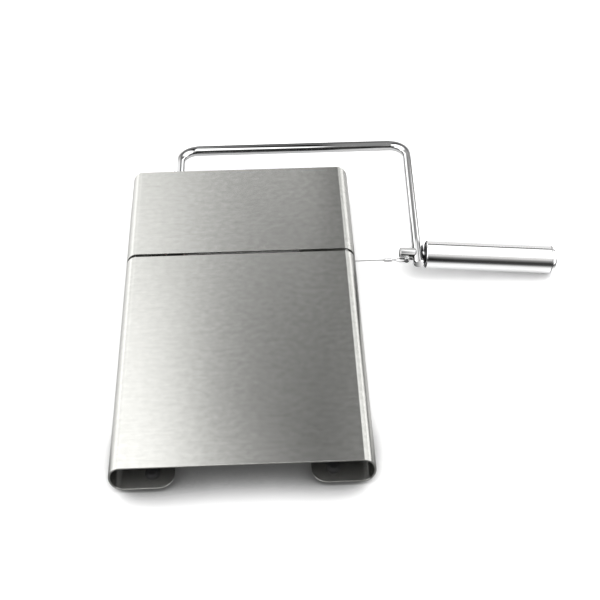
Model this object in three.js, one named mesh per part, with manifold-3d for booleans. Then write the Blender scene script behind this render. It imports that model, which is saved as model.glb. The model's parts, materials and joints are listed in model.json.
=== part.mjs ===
// Cheese wire cutter: a folded stainless board with a cross slot, and a chromed arm that
// swings about a pivot under the board and pulls a wire down through the slot.
// Millimetres. Origin at the centre of the board's flat top face, +X towards the handle,
// +Y towards the back bar of the arm, +Z up. The table is at z = -(BOARD.height + FOOT.height).

import * as THREE from 'three';
import { mergeVertices } from 'three/addons/utils/BufferGeometryUtils.js';
import Module from 'manifold-3d';

const wasm = await Module();
wasm.setup();

// ---------------------------------------------------------------- driving dimensions

const BOARD = {
  width: 131, length: 210, height: 20, sheet: 1,
  bendReach: 6.5,        // how far each side curl stands out past the flat top
  flangeEnd: 34,         // the inner edge of each return flange
  flangeCorner: 8,
  curlSteps: 8,          // curve steps in each half of a curl, and in a flange corner
};
const SLOT = { y: 35.5, width: 2, bottom: -12 };
const FOOT = {
  x: 45.2, inset: 8.5, radius: 7, height: 3, lowerBevel: 0.6, upperBevel: 0.5,
  stem: 2.7, head: 3.8, headHeight: 2.4,
};
const ROD = { radius: 3.2, bend: 11, bendSteps: 10, chamfer: 0.6, toeIn: 2 };
const PIVOT = { x: -38, z: -10.5, frontEnd: 31 };
const ARM = { barY: 135, handleX: 102.3, handleY: 39.5, endY: 31.6 };
const AXIS = { forwards: 3, droop: 2.85 };     // how far the handle's axis turns off +X, degrees
const BRACKET = {
  front: 45, rear: 79, plate: 1.5, base: 13, left: -53, right: -31.6, bendRadius: 1, bendSteps: 6,
  rivetX: [-47.5, -38], rivetInset: 5,
  shoulder: 4,           // height of the outer end above the flange
  eyeSweep: 111.6,       // degrees round the eye before it meets the sloping shoulder
};
const BUSH = { flange: 6, flangeThickness: 1, barrel: 4.3, length: 3.2 };
const RIVET = { shank: 1.5, head: 2.8, headHeight: 1.3, tailHeight: 1.1 };
const CLIP = { groove: 2.5, grooveWidth: 0.9, thickness: 0.8, outer: 5, mouth: 2.1, play: 0.1 };
const WIRE = {
  radius: 0.4, segment: 8, grooveRadius: 2.25, grooveWidth: 1.2, facets: 12,
  twist: 0.8, twistLength: 6.6, tip: 0.2, taper: 1.4,
  intoEye: 0.1, intoLoop: 0.5, twistIntoLoop: 1.2,    // how far pieces of the wire overlap
};
const LOOP = {
  slack: 0.2, behind: 0.6, throat: 4.6, farCentre: -0.2, steps: 10, facets: 10,
  // each side opens out from the mouth: distance from it, share of the half height, slope
  flare: [[0, 0, 0.1], [1.5, 0.2, 0.45], [3.4, 0.85, 0.4]],
};
const BOLT = {
  head: 3.5, headStart: -10.8, headEnd: -2, headBevel: 0.5,
  shank: 2, shankIntoHead: 1, shankEnd: 27, tipBevel: 0.5, hookAt: -7, travel: 2.8,
};
const HOOK = { shank: 1.2, head: 1.8, inner: 0.9, headThickness: 0.8 };
const WASHER = { radius: 4.6, start: 3.5, end: 4.25 };
const HANDLE = {
  radius: 8.1, wall: 1, start: 4, outerBevel: 0.4, innerBevel: 0.3, seam: 76.4, spigot: 6,
  end: 79.4, endRound: 2.3, endSteps: 5,
};
const INSERT = { neck: 4.8, start: 4.55, shoulder: 6.8, end: 24 };
const FIT = 0.05;                              // radial clearance of a running fit
const GAP = 0.3;                               // clearance between faces that nearly meet
const ROUND = 28;                              // facets around rods and turned pieces
const FINE_ROUND = 20;                         // facets around rivets and small pins
const CROSS_ROUND = 26;                        // facets around the hole across the handle leg
const OVERRUN = 1;                             // how far a cutting tool runs past a surface
const CROSS_REACH = 12;                        // half length of a tool that runs across the rod

const FLANGE_TOP = -BOARD.height + BOARD.sheet;
const BEND_CENTRE = BOARD.width / 2 - BOARD.bendReach;

// ---------------------------------------------------------------- materials

const finish = (color, roughness, metalness) =>
  new THREE.MeshStandardMaterial({ color, roughness, metalness });
const brushedSteel = () => finish(0xb9bab4, 0.35, 1);
const chromedSteel = () => finish(0xe4e5e6, 0.06, 1);
const springSteel = () => finish(0x9c9d9e, 0.3, 1);
const zincSteel = () => finish(0xa7a9a9, 0.45, 1);
const blackRubber = () => finish(0x17171a, 0.85, 0);
const whiteNylon = () => finish(0xe9e7dd, 0.5, 0);

// ---------------------------------------------------------------- solids

function toSolid(geometry) {
  const bare = geometry.clone();
  bare.deleteAttribute('normal');
  bare.deleteAttribute('uv');
  const merged = mergeVertices(bare, 1e-4);
  const mesh = new wasm.Mesh({
    numProp: 3,
    vertProperties: new Float32Array(merged.attributes.position.array),
    triVerts: new Uint32Array(merged.index.array),
  });
  return new wasm.Manifold(mesh);
}

function toGeometry(solid) {
  const mesh = solid.getMesh();
  const geometry = new THREE.BufferGeometry();
  geometry.setAttribute('position', new THREE.BufferAttribute(mesh.vertProperties, 3));
  geometry.setIndex(new THREE.BufferAttribute(mesh.triVerts, 1));
  geometry.computeVertexNormals();
  return geometry;
}

function cut(geometry, tools) {
  const body = tools.reduce((left, tool) => left.subtract(toSolid(tool)), toSolid(geometry));
  return toGeometry(body);
}

function join(geometries) {
  const [first, ...rest] = geometries.map(toSolid);
  return toGeometry(rest.reduce((left, next) => left.add(next), first));
}

// An outline drawn in (x, z), made solid between two y values.
function slabAlongY(shape, yLow, yHigh, curveSegments = 12) {
  const options = { depth: yHigh - yLow, bevelEnabled: false, curveSegments };
  return new THREE.ExtrudeGeometry(shape, options).rotateX(Math.PI / 2).translate(0, yHigh, 0);
}

// An outline drawn in (y, z), made solid between two x values.
function slabAlongX(shape, xLow, xHigh, curveSegments = 12) {
  const options = { depth: xHigh - xLow, bevelEnabled: false, curveSegments };
  return new THREE.ExtrudeGeometry(shape, options)
    .rotateX(Math.PI / 2).rotateZ(Math.PI / 2).translate(xLow, 0, 0);
}

// An outline drawn in (x, y), made solid between two z values.
function slabAlongZ(shape, zLow, zHigh, curveSegments = 12) {
  const options = { depth: zHigh - zLow, bevelEnabled: false, curveSegments };
  return new THREE.ExtrudeGeometry(shape, options).translate(0, 0, zLow);
}

function block(low, high) {
  const size = high.map((value, i) => value - low[i]);
  const centre = high.map((value, i) => (value + low[i]) / 2);
  return new THREE.BoxGeometry(...size).translate(...centre);
}

// A turned piece: profile points are [radius, height], and the axis of the result is +Y.
function turned(profile, facets = ROUND) {
  return new THREE.LatheGeometry(profile.map(([r, h]) => new THREE.Vector2(r, h)), facets);
}

function plainCylinder(radius, low, high, facets = ROUND) {
  return turned([[0, low], [radius, low], [radius, high], [0, high]], facets);
}

function ring(inner, outer, low, high, facets = ROUND) {
  return turned([[inner, low], [outer, low], [outer, high], [inner, high], [inner, low]], facets);
}

// Turns a piece whose axis is +Y so that its axis points up.
const upright = (geometry) => geometry.rotateX(Math.PI / 2);

// A curve through given stations, for a section that is swept from one station to the next.
class StationCurve extends THREE.Curve {
  constructor(stations) {
    super();
    this.stations = stations;
  }
  station(u) {
    return this.stations[Math.round(u * (this.stations.length - 1))];
  }
  getPoint(u) {
    return this.station(u).point.clone();
  }
  getPointAt(u) {
    return this.getPoint(u);
  }
  getTangentAt(u) {
    return this.station(u).tangent.clone();
  }
}

function sweptRound(stations, radius, facets) {
  const section = new THREE.Shape();
  for (let i = 0; i < facets; i += 1) {
    const angle = (2 * Math.PI * i) / facets;
    const point = [radius * Math.cos(angle), radius * Math.sin(angle)];
    if (i === 0) section.moveTo(...point);
    else section.lineTo(...point);
  }
  const extrudePath = new StationCurve(stations);
  return new THREE.ExtrudeGeometry(section, { steps: stations.length - 1, extrudePath });
}

const piece = (name, geometry, material) => {
  const mesh = new THREE.Mesh(geometry, material);
  mesh.name = name;
  return mesh;
};

// ---------------------------------------------------------------- board

// The folded sheet's section: the flat top, two bulged side curls and two return flanges.
function boardSection() {
  const { height, sheet, bendReach, flangeEnd } = BOARD;
  const middle = -height / 2;
  const inner = bendReach - sheet;
  const quarter = Math.PI / 2;
  const section = new THREE.Shape();
  section.moveTo(flangeEnd, -height);
  section.lineTo(BEND_CENTRE, -height);
  section.absellipse(BEND_CENTRE, middle, bendReach, height / 2, -quarter, quarter, false);
  section.lineTo(-BEND_CENTRE, 0);
  section.absellipse(-BEND_CENTRE, middle, bendReach, height / 2, quarter, 3 * quarter, false);
  section.lineTo(-flangeEnd, -height);
  section.lineTo(-flangeEnd, -height + sheet);
  section.lineTo(-BEND_CENTRE, -height + sheet);
  section.absellipse(-BEND_CENTRE, middle, inner, height / 2 - sheet, -quarter, -3 * quarter, true);
  section.lineTo(BEND_CENTRE, -sheet);
  section.absellipse(BEND_CENTRE, middle, inner, height / 2 - sheet, quarter, -quarter, true);
  section.lineTo(flangeEnd, -height + sheet);
  return section;
}

// What is trimmed off the inner corner of a return flange to round it.
function flangeCornerTrim(side, end) {
  const r = BOARD.flangeCorner;
  const x = side * BOARD.flangeEnd;
  const y = (end * BOARD.length) / 2;
  const trim = new THREE.Shape();
  trim.moveTo(x - side, y + end);
  trim.lineTo(x - side, y - end * r);
  trim.lineTo(x, y - end * r);
  for (let i = 1; i <= BOARD.curlSteps; i += 1) {
    const angle = (i / BOARD.curlSteps) * (Math.PI / 2);
    trim.lineTo(x + side * r * (1 - Math.cos(angle)), y - end * r * (1 - Math.sin(angle)));
  }
  trim.lineTo(x + side * r, y + end);
  return slabAlongZ(trim, -BOARD.height - OVERRUN, FLANGE_TOP + OVERRUN);
}

// The slot runs across the top and down both curls to just below the wire's rest height.
function slotTool() {
  const { y, width, bottom } = SLOT;
  const r = width / 2;
  const outline = new THREE.Shape();
  outline.moveTo(y + r, OVERRUN);
  outline.lineTo(y - r, OVERRUN);
  outline.lineTo(y - r, bottom);
  outline.absarc(y, bottom, r, Math.PI, 2 * Math.PI, false);
  const reach = BOARD.width / 2 + OVERRUN;
  return slabAlongX(outline, -reach, reach, 4);
}

function footPlaces() {
  const y = BOARD.length / 2 - FOOT.inset;
  return [
    ['foot_front_left', -FOOT.x, -y],
    ['foot_front_right', FOOT.x, -y],
    ['foot_rear_left', -FOOT.x, y],
    ['foot_rear_right', FOOT.x, y],
  ];
}

function bracketPlaces() {
  return [
    { name: 'front', y: BRACKET.front, inward: 1 },
    { name: 'rear', y: BRACKET.rear, inward: -1 },
  ];
}

const rivetY = ({ y, inward }) => y + inward * (BRACKET.base - BRACKET.rivetInset);

function board() {
  const half = BOARD.length / 2;
  const tools = [slotTool()];
  for (const side of [-1, 1]) {
    for (const end of [-1, 1]) tools.push(flangeCornerTrim(side, end));
  }
  const drill = (radius, x, y) =>
    upright(plainCylinder(radius, -OVERRUN, BOARD.sheet + OVERRUN, FINE_ROUND))
      .translate(x, y, -BOARD.height);
  for (const [, x, y] of footPlaces()) tools.push(drill(FOOT.stem + FIT, x, y));
  for (const place of bracketPlaces()) {
    for (const x of BRACKET.rivetX) tools.push(drill(RIVET.shank + FIT, x, rivetY(place)));
  }
  const sheet = slabAlongY(boardSection(), -half, half, BOARD.curlSteps);
  return piece('board', cut(sheet, tools), brushedSteel());
}

// A rubber button with a stem that is pulled through the flange and swells out above it.
function foot([name, x, y]) {
  const { radius, height, lowerBevel, upperBevel, stem, head, headHeight } = FOOT;
  const sheet = BOARD.sheet;
  const profile = [
    [0, -height], [radius - lowerBevel, -height], [radius, -height + lowerBevel], [radius, -upperBevel],
    [radius - upperBevel, 0], [stem, 0], [stem, sheet], [head, sheet], [head, sheet + 0.5 * headHeight],
    [0.6 * head, sheet + headHeight], [0, sheet + headHeight],
  ];
  const mesh = piece(name, upright(turned(profile, FINE_ROUND)), blackRubber());
  mesh.position.set(x, y, -BOARD.height);
  return mesh;
}

// ---------------------------------------------------------------- pivot brackets

function bracketFace() {
  const { left, right } = BRACKET;
  const { x, z } = PIVOT;
  const eye = right - x;
  const face = new THREE.Shape();
  face.moveTo(left, FLANGE_TOP - OVERRUN);
  face.lineTo(right, FLANGE_TOP - OVERRUN);
  face.lineTo(right, z);
  face.absarc(x, z, eye, 0, THREE.MathUtils.degToRad(BRACKET.eyeSweep), false);
  face.lineTo(left, FLANGE_TOP + BRACKET.shoulder);
  return face;
}

function bracketProfile({ y, inward }) {
  const { plate, base, bendRadius, bendSteps } = BRACKET;
  const outer = plate + bendRadius;
  const top = 0;
  const profile = new THREE.Shape();
  profile.moveTo(y, top);
  profile.lineTo(y, FLANGE_TOP + outer);
  for (let i = 1; i <= bendSteps; i += 1) {
    const angle = (i / bendSteps) * (Math.PI / 2);
    profile.lineTo(y + inward * outer * (1 - Math.cos(angle)), FLANGE_TOP + outer * (1 - Math.sin(angle)));
  }
  profile.lineTo(y + inward * base, FLANGE_TOP);
  profile.lineTo(y + inward * base, FLANGE_TOP + plate);
  for (let i = bendSteps; i >= 0; i -= 1) {
    const angle = (i / bendSteps) * (Math.PI / 2);
    profile.lineTo(
      y + inward * (outer - bendRadius * Math.cos(angle)),
      FLANGE_TOP + outer - bendRadius * Math.sin(angle),
    );
  }
  profile.lineTo(y + inward * plate, top);
  return profile;
}

function bracket(place) {
  const { left, right, base } = BRACKET;
  const low = place.y - base - OVERRUN;
  const high = place.y + base + OVERRUN;
  const folded = toSolid(slabAlongX(bracketProfile(place), left, right));
  const trimmed = folded.intersect(toSolid(slabAlongY(bracketFace(), low, high)));
  const eye = plainCylinder(BUSH.barrel + FIT, low, high).translate(PIVOT.x, 0, PIVOT.z);
  const holes = BRACKET.rivetX.map((x) =>
    upright(plainCylinder(RIVET.shank + FIT, -OVERRUN, BRACKET.plate + OVERRUN, FINE_ROUND))
      .translate(x, rivetY(place), FLANGE_TOP));
  return piece(`pivot_bracket_${place.name}`, cut(toGeometry(trimmed), [eye, ...holes]), zincSteel());
}

function bush(place) {
  const bore = ROD.radius + FIT;
  const { flange, flangeThickness, barrel, length } = BUSH;
  const profile = [
    [bore, -flangeThickness], [flange, -flangeThickness], [flange, 0], [barrel, 0],
    [barrel, length - flangeThickness], [bore, length - flangeThickness], [bore, -flangeThickness],
  ];
  const geometry = turned(profile);
  if (place.inward < 0) geometry.rotateX(Math.PI);
  const mesh = piece(`pivot_bush_${place.name}`, geometry, whiteNylon());
  mesh.position.set(PIVOT.x, place.y, PIVOT.z);
  return mesh;
}

function rivet(place, x, label) {
  const grip = BRACKET.plate + BOARD.sheet;
  const { shank, head, headHeight, tailHeight } = RIVET;
  const profile = [
    [0, -tailHeight], [0.6 * head, -0.85 * tailHeight], [0.9 * head, 0], [shank, 0], [shank, grip],
    [head, grip], [0.75 * head, grip + 0.7 * headHeight], [0.3 * head, grip + headHeight],
    [0, grip + headHeight],
  ];
  const mesh = piece(`rivet_${place.name}_${label}`, upright(turned(profile, FINE_ROUND)), zincSteel());
  mesh.position.set(x, rivetY(place), -BOARD.height);
  return mesh;
}

// ---------------------------------------------------------------- arm rod

// Middle line of the rod: the pivot leg, a round bend, the back bar, a bend, the handle leg.
function rodStations() {
  const { bend, bendSteps, toeIn } = ROD;
  const { barY, handleX, handleY, endY } = ARM;
  const { x, z, frontEnd } = PIVOT;
  const toe = THREE.MathUtils.degToRad(toeIn);
  const bendY = barY - bend;
  const rightX = handleX + (bendY - handleY) * Math.tan(toe) - bend / Math.cos(toe);
  const stations = [];
  const add = (px, py, tx, ty) => stations.push({
    point: new THREE.Vector3(px, py, z),
    tangent: new THREE.Vector3(tx, ty, 0),
  });
  const addBend = (centreX, from, to) => {
    for (let i = 0; i <= bendSteps; i += 1) {
      const heading = from + ((to - from) * i) / bendSteps;
      add(centreX - bend * Math.cos(heading), bendY + bend * Math.sin(heading),
        Math.sin(heading), Math.cos(heading));
    }
  };
  add(x, frontEnd, 0, 1);
  addBend(x + bend, 0, Math.PI / 2);
  addBend(rightX, Math.PI / 2, Math.PI + toe);
  const last = stations[stations.length - 1].point;
  add(last.x - (last.y - endY) * Math.tan(toe), endY, -Math.sin(toe), -Math.cos(toe));
  return stations;
}

// A tool that turns a small chamfer on a rod end; it points along +Y and ends at y = 0.
function chamferTool() {
  const { radius, chamfer } = ROD;
  const start = [radius - chamfer - FIT, FIT];
  return turned([start, [radius + OVERRUN, -chamfer - OVERRUN], [radius + OVERRUN, FIT], start]);
}

function rodTools() {
  const { x, z, frontEnd } = PIVOT;
  const groove = (radius, y, width) =>
    ring(radius, ROD.radius + OVERRUN, y - width / 2, y + width / 2).translate(x, 0, z);
  const clipGrooves = clipPlaces().map(({ y }) => groove(CLIP.groove, y, CLIP.grooveWidth));
  const wireGroove = groove(WIRE.grooveRadius, SLOT.y, WIRE.grooveWidth);
  const pivotChamfer = chamferTool().rotateX(Math.PI).translate(x, frontEnd, z);
  const stations = rodStations();
  const { point } = stations[stations.length - 1];
  const endChamfer = chamferTool().rotateX(Math.PI)
    .rotateZ(-THREE.MathUtils.degToRad(ROD.toeIn)).translate(point.x, point.y, point.z);
  const holeRadius = BOLT.shank + GAP + FIT;
  const crossHole = alongHandle(plainCylinder(holeRadius, -CROSS_REACH, CROSS_REACH, CROSS_ROUND));
  return [wireGroove, ...clipGrooves, pivotChamfer, endChamfer, crossHole];
}

function armRod() {
  const rod = sweptRound(rodStations(), ROD.radius, ROUND);
  return piece('arm_rod', cut(rod, rodTools()), chromedSteel());
}

function clipPlaces() {
  const beyond = BUSH.flangeThickness + CLIP.play + CLIP.grooveWidth / 2;
  return [
    { name: 'retaining_clip_front', y: BRACKET.front - beyond },
    { name: 'retaining_clip_rear', y: BRACKET.rear + beyond },
  ];
}

// A spring clip pushed into a groove of the pivot leg, with its mouth pointing down.
function clip({ name, y }) {
  const inner = CLIP.groove + FIT;
  const { outer, mouth, thickness } = CLIP;
  const innerMouth = Math.asin(mouth / inner);
  const outerMouth = Math.asin(mouth / outer);
  const down = -Math.PI / 2;
  const outline = new THREE.Shape();
  outline.absarc(0, 0, outer, down + outerMouth, down - outerMouth + 2 * Math.PI, false);
  outline.absarc(0, 0, inner, down - innerMouth + 2 * Math.PI, down + innerMouth, true);
  const geometry = slabAlongY(outline, -thickness / 2, thickness / 2, 10);
  const mesh = piece(name, geometry, springSteel());
  mesh.position.set(PIVOT.x, y, PIVOT.z);
  return mesh;
}

// ---------------------------------------------------------------- handle axis

// The handle's axis leans forwards and down. Its pieces are made along +Y and turned onto it.
function handleDirection() {
  const forwards = THREE.MathUtils.degToRad(AXIS.forwards);
  const droop = THREE.MathUtils.degToRad(AXIS.droop);
  const level = Math.cos(droop);
  return new THREE.Vector3(Math.cos(forwards) * level, -Math.sin(forwards) * level, -Math.sin(droop));
}

function handleFrame() {
  const along = handleDirection();
  const back = new THREE.Vector3(0, 0, 1).cross(along).normalize();
  const up = new THREE.Vector3().crossVectors(along, back);
  const frame = new THREE.Matrix4().makeBasis(back.clone().negate(), along, up);
  return frame.setPosition(ARM.handleX, ARM.handleY, PIVOT.z);
}

function alongHandle(geometry) {
  return geometry.applyMatrix4(handleFrame());
}

// A local point: distance along the axis, and distance from it towards the front.
function onHandle(along, front) {
  return new THREE.Vector3(front, along, 0).applyMatrix4(handleFrame());
}

// ---------------------------------------------------------------- wire

// The middle of the loop, where it hooks over the pin, is in the plane of the slot.
function hookPoint() {
  const start = onHandle(BOLT.hookAt, 0);
  const front = onHandle(BOLT.hookAt, 1).sub(start);
  return start.addScaledVector(front, (SLOT.y - start.y) / front.y);
}

// A long loop that goes up and over the pin and back, and lets the pin move left when slack.
// It is two sweeps, because its two sides run into each other at the mouth.
function loopSweeps(hook) {
  const half = HOOK.shank + WIRE.radius + FIT + LOOP.slack;
  const nearCentre = -BOLT.travel - LOOP.behind;
  const mouth = nearCentre - LOOP.throat;
  const at = (x, z, tx, tz) => ({
    point: new THREE.Vector3(hook.x + x, SLOT.y, hook.z + z),
    tangent: new THREE.Vector3(tx, 0, tz).normalize(),
  });
  const rising = LOOP.flare.map(([out, share, slope]) => at(mouth + out, share * half, 1, slope));
  const falling = LOOP.flare.map(([out, share, slope]) => at(mouth + out, -share * half, -1, slope));
  const bow = [];
  for (let i = 0; i <= LOOP.steps; i += 1) {
    const angle = (Math.PI * i) / LOOP.steps;
    bow.push(at(LOOP.farCentre + half * Math.sin(angle), half * Math.cos(angle), Math.cos(angle),
      -Math.sin(angle)));
  }
  const below = at(nearCentre, -half, -1, 0);
  const sweeps = [[...rising, at(nearCentre, half, 1, 0), ...bow, below], [below, ...falling.reverse()]]
    .map((stations) => sweptRound(stations, WIRE.radius, LOOP.facets));
  return { sweeps, mouth: hook.x + mouth };
}

// A long thin cylinder in short lengths, so that no face is a sliver.
function segmentedCylinder(radius, length, facets) {
  const parts = Math.ceil(length / WIRE.segment);
  const profile = [[0, 0]];
  for (let i = 0; i <= parts; i += 1) profile.push([radius, (length * i) / parts]);
  profile.push([0, length]);
  return turned(profile, facets);
}

// The stretch where the wire's end is wound back round itself; both ends taper into the wire.
function twist(xLow, z) {
  const { twist: wound, tip, taper, twistLength } = WIRE;
  const profile = [[0, 0], [tip, 0], [wound, taper], [wound, twistLength - taper], [tip, twistLength],
    [0, twistLength]];
  return turned(profile, WIRE.facets).rotateZ(-Math.PI / 2).translate(xLow, SLOT.y, z);
}

function cuttingWire() {
  const { radius, twistLength, grooveRadius } = WIRE;
  const hook = hookPoint();
  const { sweeps, mouth } = loopSweeps(hook);
  const ringRadius = grooveRadius + FIT + radius;
  const eye = new THREE.TorusGeometry(ringRadius, radius, LOOP.facets, ROUND)
    .rotateX(Math.PI / 2).translate(PIVOT.x, SLOT.y, PIVOT.z);
  const start = new THREE.Vector3(PIVOT.x + ringRadius, SLOT.y, PIVOT.z);
  const end = new THREE.Vector3(mouth + WIRE.intoLoop, SLOT.y, hook.z);
  const span = new THREE.Vector3().subVectors(end, start);
  const straight = segmentedCylinder(radius, span.length(), WIRE.facets);
  straight.applyQuaternion(new THREE.Quaternion()
    .setFromUnitVectors(new THREE.Vector3(0, 1, 0), span.clone().normalize()));
  straight.translate(start.x, start.y, start.z);
  const twists = [twist(start.x - WIRE.intoEye, PIVOT.z),
    twist(mouth + WIRE.twistIntoLoop - twistLength, hook.z)];
  return piece('cutting_wire', join([straight, eye, ...sweeps, ...twists]), springSteel());
}

// ---------------------------------------------------------------- tension bolt and handle

function hookPinPlace(geometry) {
  return alongHandle(geometry.rotateZ(-Math.PI / 2).translate(0, BOLT.hookAt, 0));
}

// The head is hollowed to a saddle that sits round the rod and stops the bolt from turning.
function tensionBolt() {
  const { head, headStart, headEnd, headBevel, shank, shankIntoHead, shankEnd, tipBevel } = BOLT;
  const shankStart = headStart + shankIntoHead;
  const headProfile = [
    [0, headStart], [head - headBevel, headStart], [head, headStart + headBevel], [head, headEnd],
    [0, headEnd],
  ];
  const shankProfile = [
    [0, shankStart], [shank, shankStart], [shank, shankEnd - tipBevel], [shank - tipBevel, shankEnd],
    [0, shankEnd],
  ];
  const saddle = plainCylinder(ROD.radius + GAP, -CROSS_REACH, CROSS_REACH)
    .rotateZ(-THREE.MathUtils.degToRad(ROD.toeIn)).translate(ARM.handleX, ARM.handleY, PIVOT.z);
  const pinHole = hookPinPlace(
    plainCylinder(HOOK.shank + FIT, HOOK.inner - GAP, head + OVERRUN, FINE_ROUND),
  );
  const saddled = cut(alongHandle(turned(headProfile)), [saddle]);
  const whole = join([saddled, alongHandle(turned(shankProfile))]);
  return piece('tension_bolt', cut(whole, [pinHole]), chromedSteel());
}

function hookPin() {
  const { shank, head, inner, headThickness } = HOOK;
  const wireOut = onHandle(BOLT.hookAt, 0).distanceTo(hookPoint());
  const under = wireOut + WIRE.radius + GAP;
  const profile = [
    [0, inner], [shank, inner], [shank, under], [head, under], [head, under + 0.6 * headThickness],
    [0.7 * head, under + headThickness], [0, under + headThickness],
  ];
  return piece('wire_hook_pin', hookPinPlace(turned(profile, FINE_ROUND)), chromedSteel());
}

function thrustWasher() {
  const { radius, start, end } = WASHER;
  const geometry = alongHandle(ring(BOLT.shank + 2 * FIT, radius, start, end));
  return piece('thrust_washer', geometry, zincSteel());
}

function handleTube() {
  const { radius, wall, start, outerBevel, innerBevel, seam } = HANDLE;
  const inner = radius - wall;
  const profile = [
    [inner, start + innerBevel], [inner + innerBevel, start], [radius - outerBevel, start],
    [radius, start + outerBevel], [radius, seam], [inner, seam], [inner, start + innerBevel],
  ];
  return piece('handle_tube', alongHandle(turned(profile)), chromedSteel());
}

// The plug that is pressed into the tube and screwed onto the tension bolt.
function handleInsert() {
  const { neck, start, shoulder, end } = INSERT;
  const bore = BOLT.shank + 2 * FIT;
  const outer = HANDLE.radius - HANDLE.wall - 2 * FIT;
  const profile = [
    [bore, start], [neck, start], [neck, shoulder], [outer, shoulder], [outer, end], [bore, end],
    [bore, start],
  ];
  return piece('handle_insert', alongHandle(turned(profile)), zincSteel());
}

function handleEndCap() {
  const { radius, wall, seam, end, endRound, endSteps } = HANDLE;
  const spigot = radius - wall - 2 * FIT;
  const face = seam + GAP;
  const start = seam - HANDLE.spigot;
  const profile = [[0, start], [spigot, start], [spigot, face], [radius, face]];
  for (let i = 0; i <= endSteps; i += 1) {
    const angle = (i / endSteps) * (Math.PI / 2);
    profile.push([
      radius - endRound + endRound * Math.cos(angle),
      end - endRound + endRound * Math.sin(angle),
    ]);
  }
  profile.push([0, end]);
  return piece('handle_end_cap', alongHandle(turned(profile)), chromedSteel());
}

// ---------------------------------------------------------------- assembly

const cutter = new THREE.Group();
cutter.add(board());
for (const place of footPlaces()) cutter.add(foot(place));
for (const place of bracketPlaces()) {
  cutter.add(bracket(place), bush(place));
  cutter.add(rivet(place, BRACKET.rivetX[0], 'left'), rivet(place, BRACKET.rivetX[1], 'right'));
}
cutter.add(armRod(), ...clipPlaces().map(clip), cuttingWire());
cutter.add(tensionBolt(), hookPin(), thrustWasher());
cutter.add(handleTube(), handleInsert(), handleEndCap());

export default cutter;
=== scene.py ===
"""Cheese wire cutter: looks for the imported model, in metres, in the part's own frame.

+X points to the handle, +Y to the arm's back bar, +Z up; the origin is the centre of the board's top.
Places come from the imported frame; the constants below are the sizes that the frame doesn't state.
"""

import json
import math

import bmesh
import bpy
from mathutils import Matrix, Vector
from mathutils.geometry import delaunay_2d_cdt


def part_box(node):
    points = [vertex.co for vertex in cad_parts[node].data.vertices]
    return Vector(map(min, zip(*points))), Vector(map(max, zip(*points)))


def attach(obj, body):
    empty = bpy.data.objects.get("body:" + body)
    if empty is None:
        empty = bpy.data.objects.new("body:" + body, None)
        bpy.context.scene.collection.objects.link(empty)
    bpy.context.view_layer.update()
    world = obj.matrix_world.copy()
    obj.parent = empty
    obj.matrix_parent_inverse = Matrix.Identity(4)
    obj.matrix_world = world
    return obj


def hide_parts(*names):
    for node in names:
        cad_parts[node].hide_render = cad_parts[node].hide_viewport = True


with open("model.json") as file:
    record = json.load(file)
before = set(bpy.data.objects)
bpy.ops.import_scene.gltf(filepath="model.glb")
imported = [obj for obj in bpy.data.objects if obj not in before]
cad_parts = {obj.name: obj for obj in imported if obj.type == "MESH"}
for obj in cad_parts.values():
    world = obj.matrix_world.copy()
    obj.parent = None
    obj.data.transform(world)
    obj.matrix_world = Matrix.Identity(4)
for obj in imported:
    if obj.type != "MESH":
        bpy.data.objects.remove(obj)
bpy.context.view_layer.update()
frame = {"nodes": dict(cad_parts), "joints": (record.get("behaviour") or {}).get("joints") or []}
MM = 0.001
UP = Vector((0, 0, 1))

# ---------------------------------------------------------------- places read from the frame


def joint(name):
    return next(j for j in frame["joints"] if j["name"] == name)


BOARD_LOW, BOARD_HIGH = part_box("board")
ROD_LOW, ROD_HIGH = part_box("arm_rod")
WIRE_LOW, WIRE_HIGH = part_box("cutting_wire")
PIN_LOW, PIN_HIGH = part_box("wire_hook_pin")
TABLE_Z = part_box("foot_front_left")[0].z
PIVOT = Vector(joint("arm_swing")["pos_m"])
HANDLE_AT = Vector(joint("handle_turn")["pos_m"])
HANDLE_ALONG = Vector(joint("handle_turn")["axis"]).normalized()
HANDLE_BACK = UP.cross(HANDLE_ALONG).normalized()
SLOT_Y = (WIRE_LOW.y + WIRE_HIGH.y) / 2

# ---------------------------------------------------------------- sizes of the looks

SHEET = 1.0 * MM
EDGE = 0.22 * MM                    # rounding of the sheet's cut edges
BEND_REACH = 6.5 * MM
FLANGE_END = 34 * MM
FLANGE_CORNER = 8 * MM
SLOT_WIDTH = 2 * MM
SLOT_BOTTOM = -12 * MM
FOOT_HOLE = 2.75 * MM
RIVET_HOLE = 1.55 * MM
ROD_RADIUS = (ROD_HIGH.z - ROD_LOW.z) / 2
ROD_BEND = 11 * MM
ROD_TOE = math.radians(2)
HANDLE_LEG_END = 31.6 * MM
WIRE_RADIUS = 0.4 * MM
WIRE_GROOVE = 2.25 * MM             # the rod's radius in the groove that holds the wire
CLIP_GROOVE = 2.5 * MM              # the rod's radius under the clips
END_CHAMFER = 0.6 * MM              # at both ends of the rod
HOOK_BACK = 7 * MM                  # from the handle's joint back to the hook pin, along the bolt
EDGE_ROUNDING = 0.15 * MM           # on the brackets and the clips
CHORD = 0.985                       # a round opening's flat chords cut in by less than 1.5 %

# ---------------------------------------------------------------- light

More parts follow.
